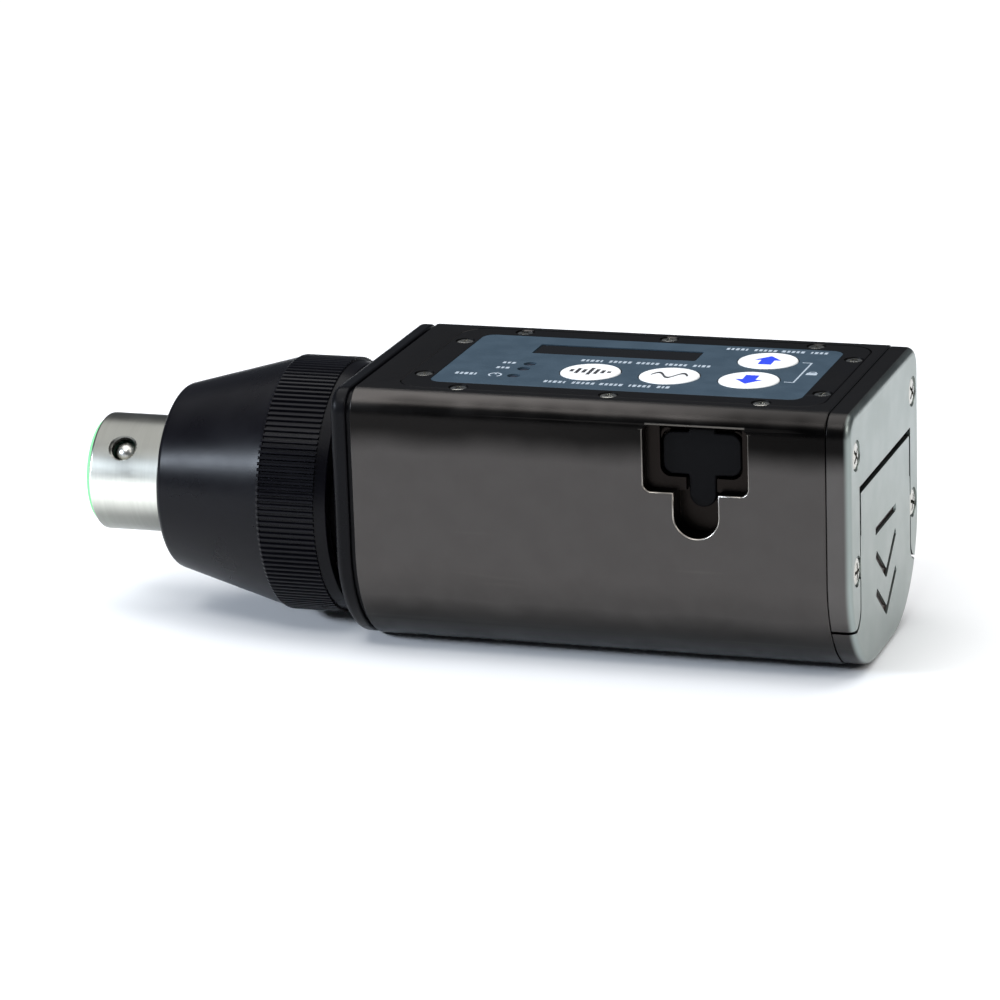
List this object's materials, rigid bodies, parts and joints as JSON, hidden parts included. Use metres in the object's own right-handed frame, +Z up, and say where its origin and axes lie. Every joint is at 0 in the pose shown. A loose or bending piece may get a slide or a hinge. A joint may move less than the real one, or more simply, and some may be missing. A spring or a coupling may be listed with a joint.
{
  "type": "plug-on wireless microphone transmitter",
  "caption": "D-section metal transmitter with a top control panel, sliding battery door, side port cover and a sprung, knurled three-pin connector coupler.",
  "frame": {"origin": "centre of the whole part's footprint, on the surface that the rounded back's flat rests on", "axes": "+X from the connector to the battery door, -Y the side with the port, +Z up towards the control panel"},
  "size_m": [0.129, 0.046, 0.0435],
  "materials": {
    "nickel_housing": "satin dark nickel plate",
    "black_insulator": "satin",
    "pale_end_cap": "satin pale plate",
    "screw_steel": "polished",
    "spring_gold": "gold plate",
    "black_panel": "matt black",
    "slate_overlay": "fine matt print",
    "dark_window": "gloss",
    "display_green": "satin",
    "led_lens": "gloss",
    "white_button": "satin",
    "circuit_board": "solder mask",
    "switch_steel": "satin",
    "tin_plate": "bright",
    "black_component": "matt",
    "amber_flex": "gloss film",
    "black_tray": "moulded",
    "cell_jacket": "gloss jacket",
    "black_rubber": "matt",
    "black_coupler": "satin black anodised",
    "black_neck": "satin",
    "spring_steel": "bright",
    "satin_barrel": "satin nickel plate",
    "nickel_nut": "nickel plate",
    "mint_insert": "moulded pale mint green",
    "contact_gold": "gold plate",
    "ball_steel": "polished",
    "wire_sleeve": "extruded sleeve",
    "wire_sleeve_tan": "extruded sleeve"
  },
  "bodies": {
    "transmitter": {"housing": "nickel_housing", "insulator_plate": "black_insulator", "end_frame": "pale_end_cap", "end_frame_screws": "screw_steel", "panel_plate": "black_panel", "panel_overlay": "slate_overlay", "panel_screws": "screw_steel", "display_window": "dark_window", "display_module": "display_green", "level_led_high": "led_lens", "level_led_low": "led_lens", "power_led": "led_lens", "control_board": "circuit_board", "dome_switches": "switch_steel", "board_standoffs": "spring_gold", "board_screws": "screw_steel", "main_board": "circuit_board", "main_board_screws": "screw_steel", "shield_can": "tin_plate", "board_parts": "black_component", "flex_cable": "amber_flex", "battery_tray": "black_tray", "battery_cell_near": "cell_jacket", "battery_cell_far": "cell_jacket", "contact_board": "circuit_board", "contact_springs": "spring_gold", "port_socket": "tin_plate", "port_board": "circuit_board", "coupler_base": "black_neck", "coupler_spring": "spring_steel", "barrel": "satin_barrel", "barrel_nut": "nickel_nut", "xlr_insert": "mint_insert", "xlr_contacts": "contact_gold", "input_leads": "wire_sleeve", "antenna_lead": "wire_sleeve_tan"},
    "battery_door": {"battery_door": "pale_end_cap", "door_contact": "spring_gold"},
    "port_flap": {"port_cover": "black_rubber"},
    "audio_key": {"audio_button": "white_button"},
    "freq_key": {"freq_button": "white_button"},
    "up_key": {"up_button": "white_button"},
    "down_key": {"down_button": "white_button"},
    "press_ring": {"thrust_washer": "spring_steel"},
    "coupler": {"coupler_sleeve": "black_coupler", "snap_ring": "spring_steel"},
    "latch": {"latch_ball": "ball_steel"}
  },
  "joints": [
    {"name": "coupler_press", "type": "slide", "parent": "transmitter", "child": "press_ring", "axis": [1, 0, 0], "range_m": [0, 0.0022], "stiffness_N_per_m": 1500, "springref_m": -0.004, "deforming": ["coupler_spring"]},
    {"name": "coupler_turn", "type": "hinge", "parent": "press_ring", "child": "coupler", "pos_m": [-0.0339, 0, 0.0215], "axis": [1, 0, 0], "range_deg": [0, 25]},
    {"name": "latch_ball_lift", "type": "slide", "parent": "transmitter", "child": "latch", "axis": [0, -0.766, 0.6428], "range_m": [0, 0.0011]},
    {"name": "battery_door_slide", "type": "slide", "parent": "transmitter", "child": "battery_door", "axis": [0, 0, -1], "range_m": [0, 0.034]},
    {"name": "port_cover_hinge", "type": "hinge", "parent": "transmitter", "child": "port_flap", "pos_m": [0.04125, -0.02005, 0.03945], "axis": [-1, 0, 0], "range_deg": [0, 95]},
    {"name": "audio_press", "type": "slide", "parent": "transmitter", "child": "audio_key", "axis": [0, 0, -1], "range_m": [0, 0.0004], "stiffness_N_per_m": 400, "springref_m": -0.0005},
    {"name": "freq_press", "type": "slide", "parent": "transmitter", "child": "freq_key", "axis": [0, 0, -1], "range_m": [0, 0.0004], "stiffness_N_per_m": 400, "springref_m": -0.0005},
    {"name": "up_press", "type": "slide", "parent": "transmitter", "child": "up_key", "axis": [0, 0, -1], "range_m": [0, 0.0004], "stiffness_N_per_m": 400, "springref_m": -0.0005},
    {"name": "down_press", "type": "slide", "parent": "transmitter", "child": "down_key", "axis": [0, 0, -1], "range_m": [0, 0.0004], "stiffness_N_per_m": 400, "springref_m": -0.0005}
  ],
  "couplings": [
    {"joint": "latch_ball_lift", "follows": "coupler_press", "ratio": 0.5}
  ]
}
